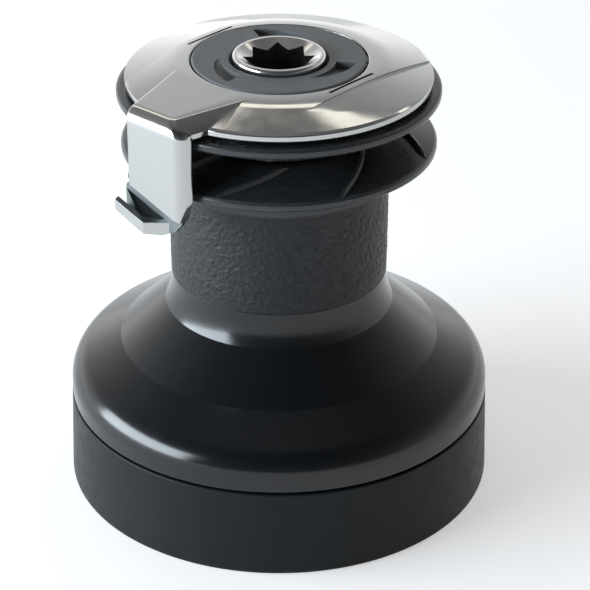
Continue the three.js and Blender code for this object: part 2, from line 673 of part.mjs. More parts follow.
function makeCover() {
  const seatRadius = capRadius + gap;
  const ring = turned([
    [stemRadius + 0.4, coverBottom], [coverRadius - 0.8, coverBottom],
    [coverRadius, coverBottom + 1], [coverRadius, coverBottom + coverRim - 0.3],
    [coverRadius - 0.6, coverBottom + coverRim + 0.3], [coverRadius - 10, coverBottom + 5.9],
    [capRadius + 4, coverTop - 0.2], [seatRadius, coverTop], [seatRadius, coverSeat],
    [stemRadius + 0.4, coverSeat],
  ]);

  const armTop = coverTop - 1;
  const faceBottom = coverBottom - armFootDrop + 4.3;
  const drop = Math.tan(rad(rampSlope));
  const bridge = upright(new THREE.Shape([
    new THREE.Vector2(capRadius + 1, -armLeft - 6), new THREE.Vector2(armOuter - 1.2, -armLeft),
    new THREE.Vector2(armOuter, -armLeft + 1.2), new THREE.Vector2(armOuter, armRight - 4.5),
    new THREE.Vector2(armOuter - 1.3, armRight - 1.3), new THREE.Vector2(armInner, armRight),
    new THREE.Vector2(capRadius + 1, armRight + 2),
  ]), coverBottom, armTop);
  const chamferRun = 4.8;
  const chamfer = alongArm(new THREE.Shape([
    new THREE.Vector2(armOuter - chamferRun, armTop + 0.01), new THREE.Vector2(armOuter + 2, armTop + 0.01),
    new THREE.Vector2(armOuter + 2, armTop - 5), new THREE.Vector2(armOuter, armTop - 4.4),
    new THREE.Vector2(armOuter - 1.6, armTop - 1.6),
  ]), -armLeft - 5, armRight + 5, 0);

  const column = acrossArm(new THREE.Shape([
    new THREE.Vector2(-armLeft, coverBottom + 1), new THREE.Vector2(-armLeft, faceBottom + armLeft * drop),
    new THREE.Vector2(armRight - 1, faceBottom - (armRight - 1) * drop),
    new THREE.Vector2(armRight, faceBottom + 2), new THREE.Vector2(armRight, coverBottom + 1),
  ]), armInner, armOuter);
  const cornerCut = upright(new THREE.Shape([
    new THREE.Vector2(armOuter + 0.1, armRight - 4.5), new THREE.Vector2(armOuter + 1, armRight + 1),
    new THREE.Vector2(armInner + 0.6, armRight + 0.1), new THREE.Vector2(armOuter - 1.3, armRight - 1.3),
  ]), faceBottom - 20, coverBottom + 2);

  const wall = 1.7;
  const floorTop = -7;
  const lip = armOuter + 3.2;
  const channelStart = -armLeft - 4;
  const channel = alongArm(new THREE.Shape([
    new THREE.Vector2(armInner, 2), new THREE.Vector2(armInner, floorTop - 3),
    new THREE.Vector2(lip, floorTop - 3), new THREE.Vector2(lip + 0.4, floorTop + 1.6),
    new THREE.Vector2(lip - 1.5, floorTop + 1.6), new THREE.Vector2(lip - 2, floorTop),
    new THREE.Vector2(armInner + wall, floorTop), new THREE.Vector2(armInner + wall, 2),
  ]), channelStart, armRight, -rampSlope).translate([0, 0, faceBottom]);
  const endCut = upright(new THREE.Shape([
    new THREE.Vector2(lip + 2, -3), new THREE.Vector2(lip + 2, armRight + 6),
    new THREE.Vector2(armInner - 3, armRight + 6), new THREE.Vector2(armInner - 3, armRight - 1),
    new THREE.Vector2(lip - 0.5, -3),
  ]), faceBottom - 25, faceBottom - 4.5);
  const innerCut = disc(armInner - 0.05, 0, coverBottom - gap, around);

  let arm = joined(cut(column, cornerCut), cut(channel, endCut), cut(bridge, chamfer));
  arm = arm.rotate([0, 0, armAngle]);
  const cover = joined(ring, arm).subtract(innerCut);
  add('feeder_arm', cover, looks.chrome);

  const middle = (lowerFace.floor + upperFace.floor) / 2;
  const tongue = upright(new THREE.Shape([
    new THREE.Vector2(neckRadius + 2, -6), new THREE.Vector2(armInner - 0.5, -9),
    new THREE.Vector2(armInner - 0.5, 7), new THREE.Vector2(neckRadius + 2, 9),
  ]), middle - 1.3, middle + 1.3);
  const clearNeck = disc(neckRadius + 0.5, middle - 5, middle + 5, around);
  const blade = cut(tongue.rotate([0, 0, armAngle]), clearNeck);
  add('stripper_ring', joined(
    tube(neckRadius + 3.6, neckRadius + 0.5, middle - 1.5, middle + 1.5, around), blade), looks.plastic);
}

function makeCap() {
  const thickness = capTop - coverSeat - gap;
  const bottom = capTop - thickness;
  let cap = turned([
    [stemRadius + gap, bottom], [capRadius - 0.4, bottom], [capRadius, bottom + 0.4],
    [capRadius, capTop - 0.5], [capRadius - 0.6, capTop], [headRadius + 1, capTop],
    [headRadius + 1, stemTop + gap], [stemRadius + gap, stemTop + gap],
  ]);
  const tail = headRadius + 4;
  [-10, 110, 230].forEach((angle) => {
    const outline = [polar(tail, angle - 45)];
    outline.push(polar(tail + 3.4, angle - 22), polar(capRadius - 3.2, angle), polar(tail - 0.4, angle));
    outline.push(polar(tail - 0.6, angle - 15), polar(tail - 0.6, angle - 30));
    cap = cap.subtract(upright(new THREE.Shape(outline), capTop - capRecess, capTop + 1));
  });
  add('top_cap', cap, looks.cap);
}

// ---------------------------------------------------------------- spindle
function socketOutline() {
  const points = [];
  const valley = (socketTip * Math.SQRT1_2) / Math.cos(rad(22.5));
  for (let i = 0; i < 8; i += 1) points.push(polar(socketTip, 45 * i), polar(valley, 45 * i + 22.5));
  return new THREE.Shape(points);
}

const driveRadius = rootRadius(slowSpindleTeeth) - 2.3;

function makeSpindle() {
  const gearTop = midLevel + gearWidth;
  const shaft = turned([
    [0, gearTop + gap], [shaftRadius, gearTop + gap], [shaftRadius, headBottom],
    [headRadius, headBottom], [headRadius, lipTop - 0.9], [headRadius - 0.8, lipTop],
    [headRadius - 1.8, lipTop], [socketTip - 3.2, lipTop - 2.8], [0, lipTop - 2.8],
  ], aroundStem);
  const socket = upright(socketOutline(), lipTop - socketDepth, lipTop + 1);
  const drive = disc(driveRadius, plateThickness + 0.4, gearTop + 1, 6);
  const groove = tube(driveRadius + 1, driveRadius - 1.6, plateThickness + 1.4, plateThickness + 2.7);
  add('main_spindle', joined(cut(shaft, socket), cut(drive, groove)), looks.steel);

  const bore = disc(driveRadius + gap, lowLevel - 1, gearTop + 1, 6);
  const slow = wheel(slowSpindleTeeth, lowLevel, lowLevel + gearWidth);
  const fast = wheel(fastSpindleTeeth, midLevel, gearTop).rotate([0, 0, phase.fastSpindle]);
  const neck = disc(rootRadius(slowSpindleTeeth), lowLevel + gearWidth - 1, midLevel + 1);
  add('spindle_gear', cut(joined(slow, neck, fast), bore), looks.bronze);

  const clip = tube(driveRadius + 1.2, driveRadius - 1.1, plateThickness + 1.6, plateThickness + 2.5);
  const mouth = upright(new THREE.Shape([
    polar(2, 0), polar(driveRadius + 5, -25), polar(driveRadius + 5, 25),
  ]), 0, lowLevel);
  add('spindle_circlip', cut(clip, mouth), looks.steel);
}

// ---------------------------------------------------------------- gear train
function makeGearTrain() {
  const lowTop = lowLevel + gearWidth;
  const secondHole = new THREE.Shape(secondRatchet.outline);
  const secondRing = cut(wheel(secondGearTeeth, lowLevel, lowTop).rotate([0, 0, phase.secondGear]),
    upright(secondHole, lowLevel - 1, lowTop + 1).rotate([0, 0, secondAngle]));
  add('second_gear', secondRing, looks.bronze, secondPlace);

  const hubTop = lowTop + 0.2;
  const hub = cut(disc(secondRatchet.hub, lowLevel, hubTop + 0.5, aroundStem),
    pawlPockets(secondRatchet, secondPawlAngles, lowLevel - 1, hubTop));
  const bridge = joined(disc(secondRatchet.valley, hubTop, hubTop + 1.2, aroundStem),
    disc(pitchRadius(slowSpindleTeeth), hubTop + 0.5, highLevel + 1));
  const upper = wheel(secondPinionTeeth, highLevel, highTop).rotate([0, 0, phase.secondPinion]);
  const secondBody = joined(hub.rotate([0, 0, secondAngle]), bridge, upper);
  add('second_pinion', cut(secondBody, disc(secondPinRadius + gap, 0, footTop)), looks.steel, secondPlace);

  const firstTop = midLevel + gearWidth;
  const flangeBottom = highLevel - gap - 2;
  const carrier = cut(disc(firstRatchet.hub, highLevel - 1, highTop, aroundStem),
    pawlPockets(firstRatchet, firstPawlAngles, highLevel - gap, highTop + 1));
  const firstBody = joined(wheel(firstGearTeeth, midLevel, firstTop).rotate([0, 0, phase.firstGear]),
    disc(rootRadius(firstGearTeeth), firstTop - 1, flangeBottom + 1),
    disc(firstRatchet.valley + 1, flangeBottom, highLevel - gap, aroundStem),
    carrier.rotate([0, 0, firstAngle]));
  add('first_gear', cut(firstBody, disc(firstPinRadius + gap, 0, footTop)), looks.bronze, firstPlace);

  const firstHole = new THREE.Shape(firstRatchet.outline);
  const firstRing = cut(wheel(firstPinionTeeth, highLevel, highTop).rotate([0, 0, phase.firstPinion]),
    upright(firstHole, highLevel - 1, highTop + 1).rotate([0, 0, firstAngle]));
  add('first_pinion', firstRing, looks.steel, firstPlace);

  const idler = cut(wheel(idlerTeeth, midLevel, firstTop), disc(idlerPinRadius + gap, 0, footTop));
  add('idler_gear', idler.rotate([0, 0, phase.idler]), looks.bronze, idlerPlace);

  const turnedTo = (angles, degrees) => angles.map((angle) => angle + degrees);
  addPawls('second', secondRatchet, turnedTo(secondPawlAngles, secondAngle), secondPlace,
    lowLevel, hubTop - gap, secondRatchet.swing);
  addPawls('first', firstRatchet, turnedTo(firstPawlAngles, firstAngle), firstPlace,
    highLevel, highTop, 0);
}

// ---------------------------------------------------------------- roller bearings
function makeBearing(label, bottom, rollers = 6) {
  const centre = stemRadius + rollerPlay + rollerRadius;
  const length = raceLength - 1.4;
  const start = bottom + (raceLength - length) / 2;
  const body = tube(centre + 1.4, centre - 1.4, start, start + length, aroundStem);
  const pocket = disc(rollerRadius + gap, start + 1.5, start + length - 1.5, aroundHole);
  const roller = disc(rollerRadius, start + 1.5 + gap, start + length - 1.5 - gap, aroundHole);
  let cage = body;
  for (let i = 0; i < rollers; i += 1) {
    const place = polar(centre, (360 * i) / rollers);
    cage = cage.subtract(moved(pocket, place));
    add(`${label}_roller_${i + 1}`, roller, looks.steel, place);
  }
  add(`${label}_roller_cage`, cage, looks.nylon);
}

makeBase();
makeStem();
makeDrum();
makeJaws();
makeCover();
makeCap();
makeSpindle();
makeGearTrain();
makeBearing('lower', lowerRace);
makeBearing('upper', upperRace);

export default winch;
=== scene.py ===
"""Two-speed self-tailing sailboat winch: fine meshes, materials and a plain studio."""
import json
import math

import bmesh
import bpy
from mathutils import Matrix, Vector, noise


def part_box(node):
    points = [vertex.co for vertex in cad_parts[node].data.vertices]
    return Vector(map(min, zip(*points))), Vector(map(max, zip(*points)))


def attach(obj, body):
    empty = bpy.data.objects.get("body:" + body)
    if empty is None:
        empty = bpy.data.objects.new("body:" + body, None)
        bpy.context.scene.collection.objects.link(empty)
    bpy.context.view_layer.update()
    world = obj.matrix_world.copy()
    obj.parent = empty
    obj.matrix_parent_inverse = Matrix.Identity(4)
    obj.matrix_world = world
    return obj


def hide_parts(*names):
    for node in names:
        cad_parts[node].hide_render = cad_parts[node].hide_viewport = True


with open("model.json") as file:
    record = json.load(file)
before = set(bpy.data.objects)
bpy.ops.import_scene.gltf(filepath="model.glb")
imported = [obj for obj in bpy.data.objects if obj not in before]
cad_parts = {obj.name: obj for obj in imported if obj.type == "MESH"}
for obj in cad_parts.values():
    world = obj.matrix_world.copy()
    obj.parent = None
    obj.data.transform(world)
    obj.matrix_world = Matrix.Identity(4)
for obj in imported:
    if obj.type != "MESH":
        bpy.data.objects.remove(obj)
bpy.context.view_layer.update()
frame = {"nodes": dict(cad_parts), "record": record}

# ---------------------------------------------------------------- sizes, in millimetres
MM = 0.001


def span(node):
    """Lowest and highest corner of a CAD node, in millimetres."""
    low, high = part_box(node)
    return low / MM, high / MM


base_low, base_high = span("base_skirt")
drum_low, drum_high = span("drum")
lower_low, lower_high = span("lower_jaw")
upper_low, upper_high = span("upper_jaw")
cap_low, cap_high = span("top_cap")
spindle_low, spindle_high = span("main_spindle")
ring_low, ring_high = span("stripper_ring")

base_wall = 4.6
drum_wall = 3.8
shoulder_height = drum_low.z + 5.2
shoulder_radius = 10.4
flare_radius = 26.5
flare_slope = math.radians(29.4)
barrel_radius = 38.3
barrel_top = 118.0
neck_radius = 33.0
neck_bore = 27.5
web_bore = 25.6
grip_depth = 0.5  # of the recess that the grip of the barrel lies in
arm_angle = math.radians(228)

# ---------------------------------------------------------------- outlines


def rounded(corners, closed=True, step=1.1):
    """Points of an outline of (x, y, fillet) corners, with each corner rounded off by its fillet."""
    points = []
    count = len(corners)
    for i, (x, y, fillet) in enumerate(corners):
        here = Vector((x, y))
        if fillet <= 0 or (not closed and i in (0, count - 1)):
            points.append(here)
            continue
        back = Vector(corners[i - 1][:2]) - here
        on = Vector(corners[(i + 1) % count][:2]) - here
        half = back.angle(on) / 2
        reach = min(fillet / math.tan(half), 0.9 * back.length, 0.9 * on.length)
        radius = reach * math.tan(half)
        centre = here + (back.normalized() + on.normalized()).normalized() * (radius / math.sin(half))
        start = here + back.normalized() * reach - centre
        turn = start.angle_signed(here + on.normalized() * reach - centre)
        steps = max(5, math.ceil(radius * abs(turn) / step))
        for k in range(steps + 1):
            points.append(centre + Matrix.Rotation(-turn * k / steps, 2) @ start)
    return held(points, closed)


def held(points, closed=True, hold=0.2):
    """The same outline with a point near each end of its long straights, so that shading stays crisp."""
    out = []
    count = len(points)
    for i, here in enumerate(points):
        out.append(here)
        if not closed and i == count - 1:
            break
        after = points[(i + 1) % count]
        length = (after - here).length
        if length > 6 * hold:
            out.append(here.lerp(after, hold / length))
            out.append(here.lerp(after, 1 - hold / length))
    return out


# ---------------------------------------------------------------- meshes


def piece(name, points, faces):
    """A mesh object from points in millimetres, with its faces turned outwards."""
    mesh = bpy.data.meshes.new(name)
    mesh.from_pydata([Vector(p) * MM for p in points], [], faces)
    work = bmesh.new()
    work.from_mesh(mesh)
    bmesh.ops.remove_doubles(work, verts=work.verts, dist=1e-7)
    bmesh.ops.recalc_face_normals(work, faces=work.faces)
    work.to_mesh(mesh)
    work.free()
    obj = bpy.data.objects.new(name, mesh)
    bpy.context.scene.collection.objects.link(obj)
    return obj


def lathe(name, outline, around=256):
    """A round solid about Z from a closed outline of (radius, height) points."""
    points, faces = [], []
    for radius, height in outline:
        for k in range(around):
            angle = 2 * math.pi * k / around
            points.append((max(radius, 0) * math.cos(angle), max(radius, 0) * math.sin(angle), height))
    rows = len(outline)
    for i in range(rows):
        for k in range(around):
            a, b = i * around, ((i + 1) % rows) * around
            on = (k + 1) % around
            corners = [a + k, a + on, b + on, b + k]
            if outline[i][0] <= 0 and outline[(i + 1) % rows][0] <= 0:
                continue
            if outline[i][0] <= 0:
                corners = [a, b + on, b + k]
            elif outline[(i + 1) % rows][0] <= 0:
                corners = [a + k, a + on, b]
            faces.append(corners)
    return piece(name, points, faces)


def loft(name, sections):
    """A closed skin through equal rings of points, with a flat cap at each end."""
    points = [p for section in sections for p in section]
    size = len(sections[0])
    faces = [tuple(range(size)), tuple(range(len(points) - size, len(points)))]
    for i in range(len(sections) - 1):
        for k in range(size):
            on = (k + 1) % size
            faces.append((i * size + k, i * size + on, (i + 1) * size + on, (i + 1) * size + k))
    return piece(name, points, faces)


def prism(name, outline, low, high, place=None):
    """An outline of 2D points pushed from low to high along the third axis of place."""
    place = place or Matrix.Identity(4)
    sections = [[place @ Vector((p[0], p[1], level)) for p in outline] for level in (low, high)]
    return loft(name, sections)


def settle(obj):
    """Applies the modifiers of a piece."""
    graph = bpy.context.evaluated_depsgraph_get()
    before = obj.data
    obj.data = bpy.data.meshes.new_from_object(obj.evaluated_get(graph))
    obj.modifiers.clear()
    bpy.data.meshes.remove(before)
    return obj


def combine(target, tool, operation):
    """Joins the tool to the target, or cuts it away, and removes the tool."""
    step = target.modifiers.new("combine", "BOOLEAN")
    step.operation = operation
    step.solver = "EXACT"
    step.object = tool
    settle(target)
    bpy.data.objects.remove(tool)
    return target


def bevelled(obj, width, segments=3, angle=30):
    step = obj.modifiers.new("bevel", "BEVEL")
    step.width = width * MM
    step.segments = segments
    step.limit_method = "ANGLE"
    step.angle_limit = math.radians(angle)
    return settle(obj)


def sliced(obj, point, normal):
    """Cuts off what lies on the normal's side of a plane through a point."""
    size = 90
    place = Matrix.Translation(point) @ Vector(normal).to_track_quat("Z", "Y").to_matrix().to_4x4()
    square = [(-size, -size), (size, -size), (size, size), (-size, size)]
    return combine(obj, prism("slice", square, 0, size, place), "DIFFERENCE")


def shaded(obj, angle=32):
    """Smooth shading that keeps the edges sharper than an angle."""
    obj.data.shade_smooth()
    obj.data.set_sharp_from_angle(angle=math.radians(angle))
    step = obj.modifiers.new("even normals", "WEIGHTED_NORMAL")
    step.keep_sharp = True
    return obj


def dressed(obj, body, slot, *looks):
    """Gives a finished piece its looks and the body that it rides on; its slot argument is not used."""
    obj.data.materials.clear()
    for look in looks:
        obj.data.materials.append(look)
    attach(obj, body)
    return shaded(obj)


def polar(radius, angle, height=0.0):
    return Vector((radius * math.cos(angle), radius * math.sin(angle), height))


# ---------------------------------------------------------------- looks


class Look:
    """A material built round one Principled BSDF, in object coordinates."""

    def __init__(self, name, colour, metallic=0.0, roughness=0.5, **sockets):
        self.material = bpy.data.materials.new(name)
        self.material.use_nodes = True
        self.tree = self.material.node_tree
        self.shader = self.tree.nodes["Principled BSDF"]
        self.shader.inputs["Base Color"].default_value = (*colour, 1)
        self.shader.inputs["Metallic"].default_value = metallic
        self.shader.inputs["Roughness"].default_value = roughness
        for socket, value in sockets.items():
            self.shader.inputs[socket.replace("_", " ")].default_value = value
        self.place = self.tree.nodes.new("ShaderNodeTexCoord").outputs["Object"]
        self.height = None

    def node(self, kind, inputs=(), **settings):
        node = self.tree.nodes.new(kind)
        for key, value in settings.items():
            setattr(node, key, value)
        for socket, value in dict(inputs).items():
            if isinstance(value, bpy.types.NodeSocket):
                self.tree.links.new(value, node.inputs[socket])
            else:
                node.inputs[socket].default_value = value
        return node

    def noise(self, grain, detail=3.0, rough=0.5, place=None, warp=0.0):
        """Noise whose features are about grain millimetres across."""
        inputs = {"Vector": place or self.place, "Scale": 1 / (grain * MM), "Detail": detail,
                  "Roughness": rough, "Distortion": warp}
        return self.node("ShaderNodeTexNoise", inputs).outputs["Fac"]

    def cells(self, grain, feature="F1", place=None):
        inputs = {"Vector": place or self.place, "Scale": 1 / (grain * MM)}
        return self.node("ShaderNodeTexVoronoi", inputs, feature=feature).outputs["Distance"]

    def stretched(self, x, y, z):
        return self.node("ShaderNodeMapping", {"Vector": self.place, "Scale": (x, y, z)}).outputs[0]

    def round_place(self, along=1.0):
        """Radius, a little of the angle and height, for marks that run round the axis."""
        parts = self.node("ShaderNodeSeparateXYZ", {0: self.place})
        flat = self.node("ShaderNodeCombineXYZ", {0: parts.outputs[0], 1: parts.outputs[1]})
        length = self.node("ShaderNodeVectorMath", {0: flat.outputs[0]}, operation="LENGTH")
        angle = self.node("ShaderNodeMath", {0: parts.outputs[1], 1: parts.outputs[0]}, operation="ARCTAN2")
        turned = self.node("ShaderNodeMath", {0: angle.outputs[0], 1: along * MM}, operation="MULTIPLY")
        return self.node("ShaderNodeCombineXYZ", {
            0: length.outputs["Value"], 1: turned.outputs[0], 2: parts.outputs[2]}).outputs[0]

    def ramp(self, value, low, high, from_low=0.3, from_high=0.7):
        return self.node("ShaderNodeMapRange", {
            "Value": value, "From Min": from_low, "From Max": from_high,
            "To Min": low, "To Max": high}).outputs["Result"]

    def mix(self, factor, low, high):
        node = self.node("ShaderNodeMix", {"Factor": factor}, data_type="RGBA")
        for index, colour in ((6, low), (7, high)):
            if isinstance(colour, bpy.types.NodeSocket):
                self.tree.links.new(colour, node.inputs[index])
            else:
                node.inputs[index].default_value = (*colour, 1)
        return node.outputs[2]

    def maths(self, operation, a, b):
        return self.node("ShaderNodeMath", {0: a, 1: b}, operation=operation).outputs[0]

    def near_height(self, height, reach):
        """1 at a height above the deck, falling to 0 within reach, in millimetres."""
        z = self.node("ShaderNodeSeparateXYZ", {0: self.place}).outputs[2]
        off = self.node("ShaderNodeMath", {0: z, 1: height * MM}, operation="SUBTRACT").outputs[0]
        far = self.node("ShaderNodeMath", {0: off}, operation="ABSOLUTE").outputs[0]
        return self.ramp(far, 1, 0, 0, reach * MM)

    def colour(self, socket):
        self.tree.links.new(socket, self.shader.inputs["Base Color"])

    def rough(self, socket):
        self.tree.links.new(socket, self.shader.inputs["Roughness"])

    def bump(self, socket, depth, strength=1.0):
        """Adds a relief of about depth millimetres."""
        inputs = {"Height": socket, "Distance": depth * MM, "Strength": strength}
        if self.height is not None:
            inputs["Normal"] = self.height
        self.height = self.node("ShaderNodeBump", inputs).outputs["Normal"]
        self.tree.links.new(self.height, self.shader.inputs["Normal"])


def body_black():
    """Hard anodised drum: nearly black, satin, a little blue."""
    look = Look("drum_black", (0.004, 0.006, 0.007), roughness=0.18, Specular_IOR_Level=0.5)
    patches = look.noise(34, 4)
    # lighter in noisy patches along the drum's bottom edge, just above the seam
    light_bottom_edge = look.maths("MULTIPLY", look.near_height(drum_low.z + 0.4, 1.2), look.noise(1.4, 3))
    base = look.mix(patches, (0.003, 0.004, 0.005), (0.005, 0.007, 0.009))
    look.colour(look.mix(look.ramp(light_bottom_edge, 0, 0.5, 0.35, 0.7), base, (0.07, 0.08, 0.09)))
    look.rough(look.ramp(look.noise(5, 5), 0.16, 0.21))
    look.bump(look.noise(1.1, 2), 0.012, 0.3)
    look.bump(look.noise(0.22, 2), 0.004, 0.3)
    return look.material


def grip_black():
    """Rough peened grip of the barrel, dark blue-grey with dull sparkles."""
    look = Look("barrel_grip", (0.016, 0.021, 0.026), metallic=0.2, roughness=0.5)
    speckle = look.noise(0.8, 5, 0.65)
    base = look.mix(look.ramp(speckle, 0, 1, 0.38, 0.62), (0.002, 0.003, 0.004), (0.012, 0.015, 0.019))
    bright = look.ramp(look.cells(1.3), 1, 0, 0.05, 0.28)
    look.colour(look.mix(look.maths("MULTIPLY", bright, 0.4), base, (0.035, 0.045, 0.06)))
    look.rough(look.ramp(look.noise(1.6, 4), 0.34, 0.6))
    look.bump(look.noise(0.5, 4, 0.6), 0.12, 0.6)
    return look.material


def band_black():
    """Lower skirt: moulded black, more matt than the drum."""
    look = Look("base_band", (0.010, 0.012, 0.015), roughness=0.42, Specular_IOR_Level=0.17)
    streaks = look.noise(18, 4, place=look.stretched(1, 1, 0.35))
    scuffs = look.maths("MULTIPLY", look.near_height(0.5, 2.5), look.noise(2.2, 4))
    base = look.mix(streaks, (0.006, 0.008, 0.009), (0.010, 0.012, 0.014))
    look.colour(look.mix(look.ramp(scuffs, 0, 0.5, 0.35, 0.7), base, (0.04, 0.045, 0.05)))
    look.rough(look.ramp(look.noise(4, 5), 0.38, 0.5))
    look.bump(look.cells(0.45), 0.015, 0.2)
    look.bump(look.noise(7, 2), 0.02, 0.2)
    return look.material


def jaw_black_look():
    """Glossy black jaws with faint rope polish."""
    look = Look("jaw_black", (0.009, 0.010, 0.011), roughness=0.24)
    marks = look.noise(0.9, 3, place=look.round_place(6))
    look.colour(look.mix(look.ramp(marks, 0, 1, 0.55, 0.8), (0.026, 0.029, 0.032), (0.048, 0.053, 0.058)))
    look.rough(look.ramp(look.noise(2.6, 5), 0.19, 0.30))
    look.bump(marks, 0.003, 0.25)
    return look.material


def chrome_look():
    """Polished plated cover with fine hairlines and faint waves in the plating."""
    look = Look("chrome_cover", (0.50, 0.51, 0.51), metallic=1.0, roughness=0.12)
    clouds = look.noise(26, 3)
    look.colour(look.mix(clouds, (0.48, 0.50, 0.51), (0.53, 0.53, 0.515)))
    hairs = look.noise(0.25, 2, place=look.stretched(1, 9, 9))
    haze = look.ramp(look.noise(6, 5), 0.07, 0.13)
    look.rough(look.maths("ADD", haze, look.ramp(hairs, 0, 0.05, 0.5, 0.75)))
    look.bump(look.noise(9, 2), 0.006, 0.25)
    look.bump(hairs, 0.002, 0.2)
    return look.material


def cap_look():
    """Moulded matt grey cap with a fine spark-eroded grain."""
    look = Look("cap_grey", (0.13, 0.14, 0.145), roughness=0.55)
    look.colour(look.mix(look.noise(8, 5), (0.105, 0.113, 0.120), (0.145, 0.153, 0.160)))
    look.rough(look.ramp(look.noise(1.5, 4), 0.46, 0.62))
    look.bump(look.noise(0.35, 3, 0.6), 0.03, 0.5)
    return look.material


def polished_look():
    """Turned and polished stainless spindle, with lathe marks round the axis."""
    look = Look("polished_steel", (0.60, 0.60, 0.60), metallic=1.0, roughness=0.16)
    turned = look.noise(0.3, 2, place=look.round_place(1))
    look.colour(look.mix(look.noise(4, 4), (0.54, 0.54, 0.54), (0.66, 0.66, 0.65)))
    look.rough(look.ramp(turned, 0.10, 0.24))
    look.bump(turned, 0.004, 0.3)
    return look.material


def metal_look(name, dark, light, low, high, grain, relief):
    """Machined or cast metal: two tones, uneven roughness and a fine relief."""
    look = Look(name, light, metallic=1.0, roughness=(low + high) / 2)
    look.colour(look.mix(look.noise(grain * 4, 5), dark, light))
    look.rough(look.ramp(look.noise(grain * 1.5, 5), low, high))
    look.bump(look.noise(grain, 4, 0.6), relief, 0.5)
    return look.material


def plastic_look(name, dark, light, low, high, grain):
    """Moulded plastic: two close tones and a fine grain."""
    look = Look(name, light, roughness=(low + high) / 2)
    look.colour(look.mix(look.noise(grain * 12, 5), dark, light))
    look.rough(look.ramp(look.noise(grain * 4, 4), low, high))
    look.bump(look.noise(grain, 3), 0.02, 0.5)
    return look.material


looks = {
    "drum_black": body_black(),
    "base_band": band_black(),
    "jaw_black": jaw_black_look(),
    "chrome_cover": chrome_look(),
    "cap_grey": cap_look(),
    "polished_steel": polished_look(),
    "steel": metal_look("steel", (0.36, 0.37, 0.39), (0.48, 0.49, 0.50), 0.24, 0.42, 0.5, 0.01),
    "bronze": metal_look("bronze", (0.36, 0.20, 0.08), (0.47, 0.29, 0.12), 0.26, 0.44, 0.5, 0.01),
    "casting": metal_look("casting", (0.15, 0.16, 0.17), (0.24, 0.25, 0.26), 0.48, 0.66, 0.9, 0.08),
    "inner_plastic": plastic_look(
        "inner_plastic", (0.014, 0.015, 0.017), (0.024, 0.025, 0.027), 0.42, 0.6, 0.4),
    "nylon": plastic_look("nylon", (0.55, 0.51, 0.41), (0.66, 0.62, 0.52), 0.4, 0.56, 0.4),
}
grip_look = grip_black()
# darker, rougher metal for the faces inside the gutter; its darker colour is painted shade in the recess
gutter_shade_look = metal_look("gutter_painted_shade", (0.13, 0.15, 0.15), (0.20, 0.22, 0.22), 0.42, 0.55, 0.4, 0.03)


def dress_frame():
    """Every carried-over CAD node takes the look of its slot."""
    slots = {part["node"]: part["material_slot"] for part in frame["record"]["subparts"]}
    for name, obj in frame["nodes"].items():
        obj.data.materials.clear()
        obj.data.materials.append(looks[slots[name]])


# ---------------------------------------------------------------- base and drum


def make_base():
    inner = base_high.x - base_wall
    outline = rounded([
        (inner, 0, 0.3), (base_high.x, 0, 0.6), (base_high.x, 1.5, 0.6),
        (drum_high.x + 0.2, base_high.z, 0.6), (inner, base_high.z, 0.3),
    ])
    base = lathe("base_band", outline, 320)
    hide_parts("base_skirt")
    dressed(base, "base", "base_band", looks["base_band"])


def barrel_start():
    """Height where the barrel leaves the flare."""
    turn = math.tan((math.pi / 2 - flare_slope) / 2)
    run = drum_high.x - barrel_radius
    corner = shoulder_height + shoulder_radius * turn
    return corner + run * math.tan(flare_slope) + flare_radius * turn


def make_drum():
    turn = math.tan((math.pi / 2 - flare_slope) / 2)
    shoulder = shoulder_height + shoulder_radius * turn
    foot = shoulder + (drum_high.x - barrel_radius) * math.tan(flare_slope)
    start = barrel_start()
    recess = barrel_radius - grip_depth
    inner = drum_high.x - drum_wall
    drop = drum_wall / math.cos(flare_slope)
    inside = barrel_radius - drum_wall - 1
    outline = rounded([
        (inner, drum_low.z, 0.3), (drum_high.x, drum_low.z, 0.9), (drum_high.x, shoulder, shoulder_radius),
        (barrel_radius, foot, flare_radius), (barrel_radius, start + 0.6, 0.1), (recess, start + 0.8, 0.1),
        (recess, barrel_top - 1.3, 0.1), (barrel_radius, barrel_top - 1.1, 0.1),
        (barrel_radius, barrel_top, 0.5), (neck_radius, barrel_top, 0.2),
        (neck_radius, drum_high.z, 0.3), (neck_bore, drum_high.z, 0.3), (neck_bore, barrel_top + 10, 0.2),
        (web_bore, barrel_top + 10, 0.2), (web_bore, barrel_top - 1, 0.2), (inside, barrel_top - 4, 0.4),
        (inside, start + 7, 0.4), (web_bore, start + 4, 0.2), (web_bore, start - 6, 0.2),
        (inside + 3, start - 8, 2), (inner, shoulder - drop + 2, 6),
    ])
    drum = lathe("drum_body", outline, 360)
    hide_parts("drum")
    dressed(drum, "drum", "drum_black", looks["drum_black"])
    make_grip(start + 0.7, barrel_top - 1.2)


def make_grip(low, high):
    """The peened grip: a sleeve in the barrel's recess whose outside is a field of small bumps."""
    around, rows = 720, 112
    peak = 0.32  # height of a full bump
    floor = barrel_radius - 0.12
    points, faces = [], []
    for i in range(rows + 1):
        height = low + (high - low) * i / rows
        fade = min(1.0, 9 * min(i, rows - i) / rows)
        for k in range(around):
            angle = 2 * math.pi * k / around
            at = polar(barrel_radius, angle, height)
            coarse = noise.noise(at * 0.55 + Vector((7, 3, 1)))
            fine = noise.noise(at * 1.25)
            lump = max(0.0, 0.35 + 0.9 * coarse) * 0.55 + max(0.0, fine) * 0.9
            points.append(polar(floor + peak * fade * min(lump, 1.15), angle, height))
    inner = barrel_radius - grip_depth + 0.05
    for height in (high, low):
        points += [polar(inner, 2 * math.pi * k / around, height) for k in range(around)]
    for i in range(rows + 3):
        for k in range(around):
            on = (k + 1) % around
            a, b = i * around, ((i + 1) % (rows + 3)) * around
            faces.append((a + k, a + on, b + on, b + k))
    grip = piece("barrel_grip", points, faces)
    dressed(grip, "drum", "drum_black", grip_look)


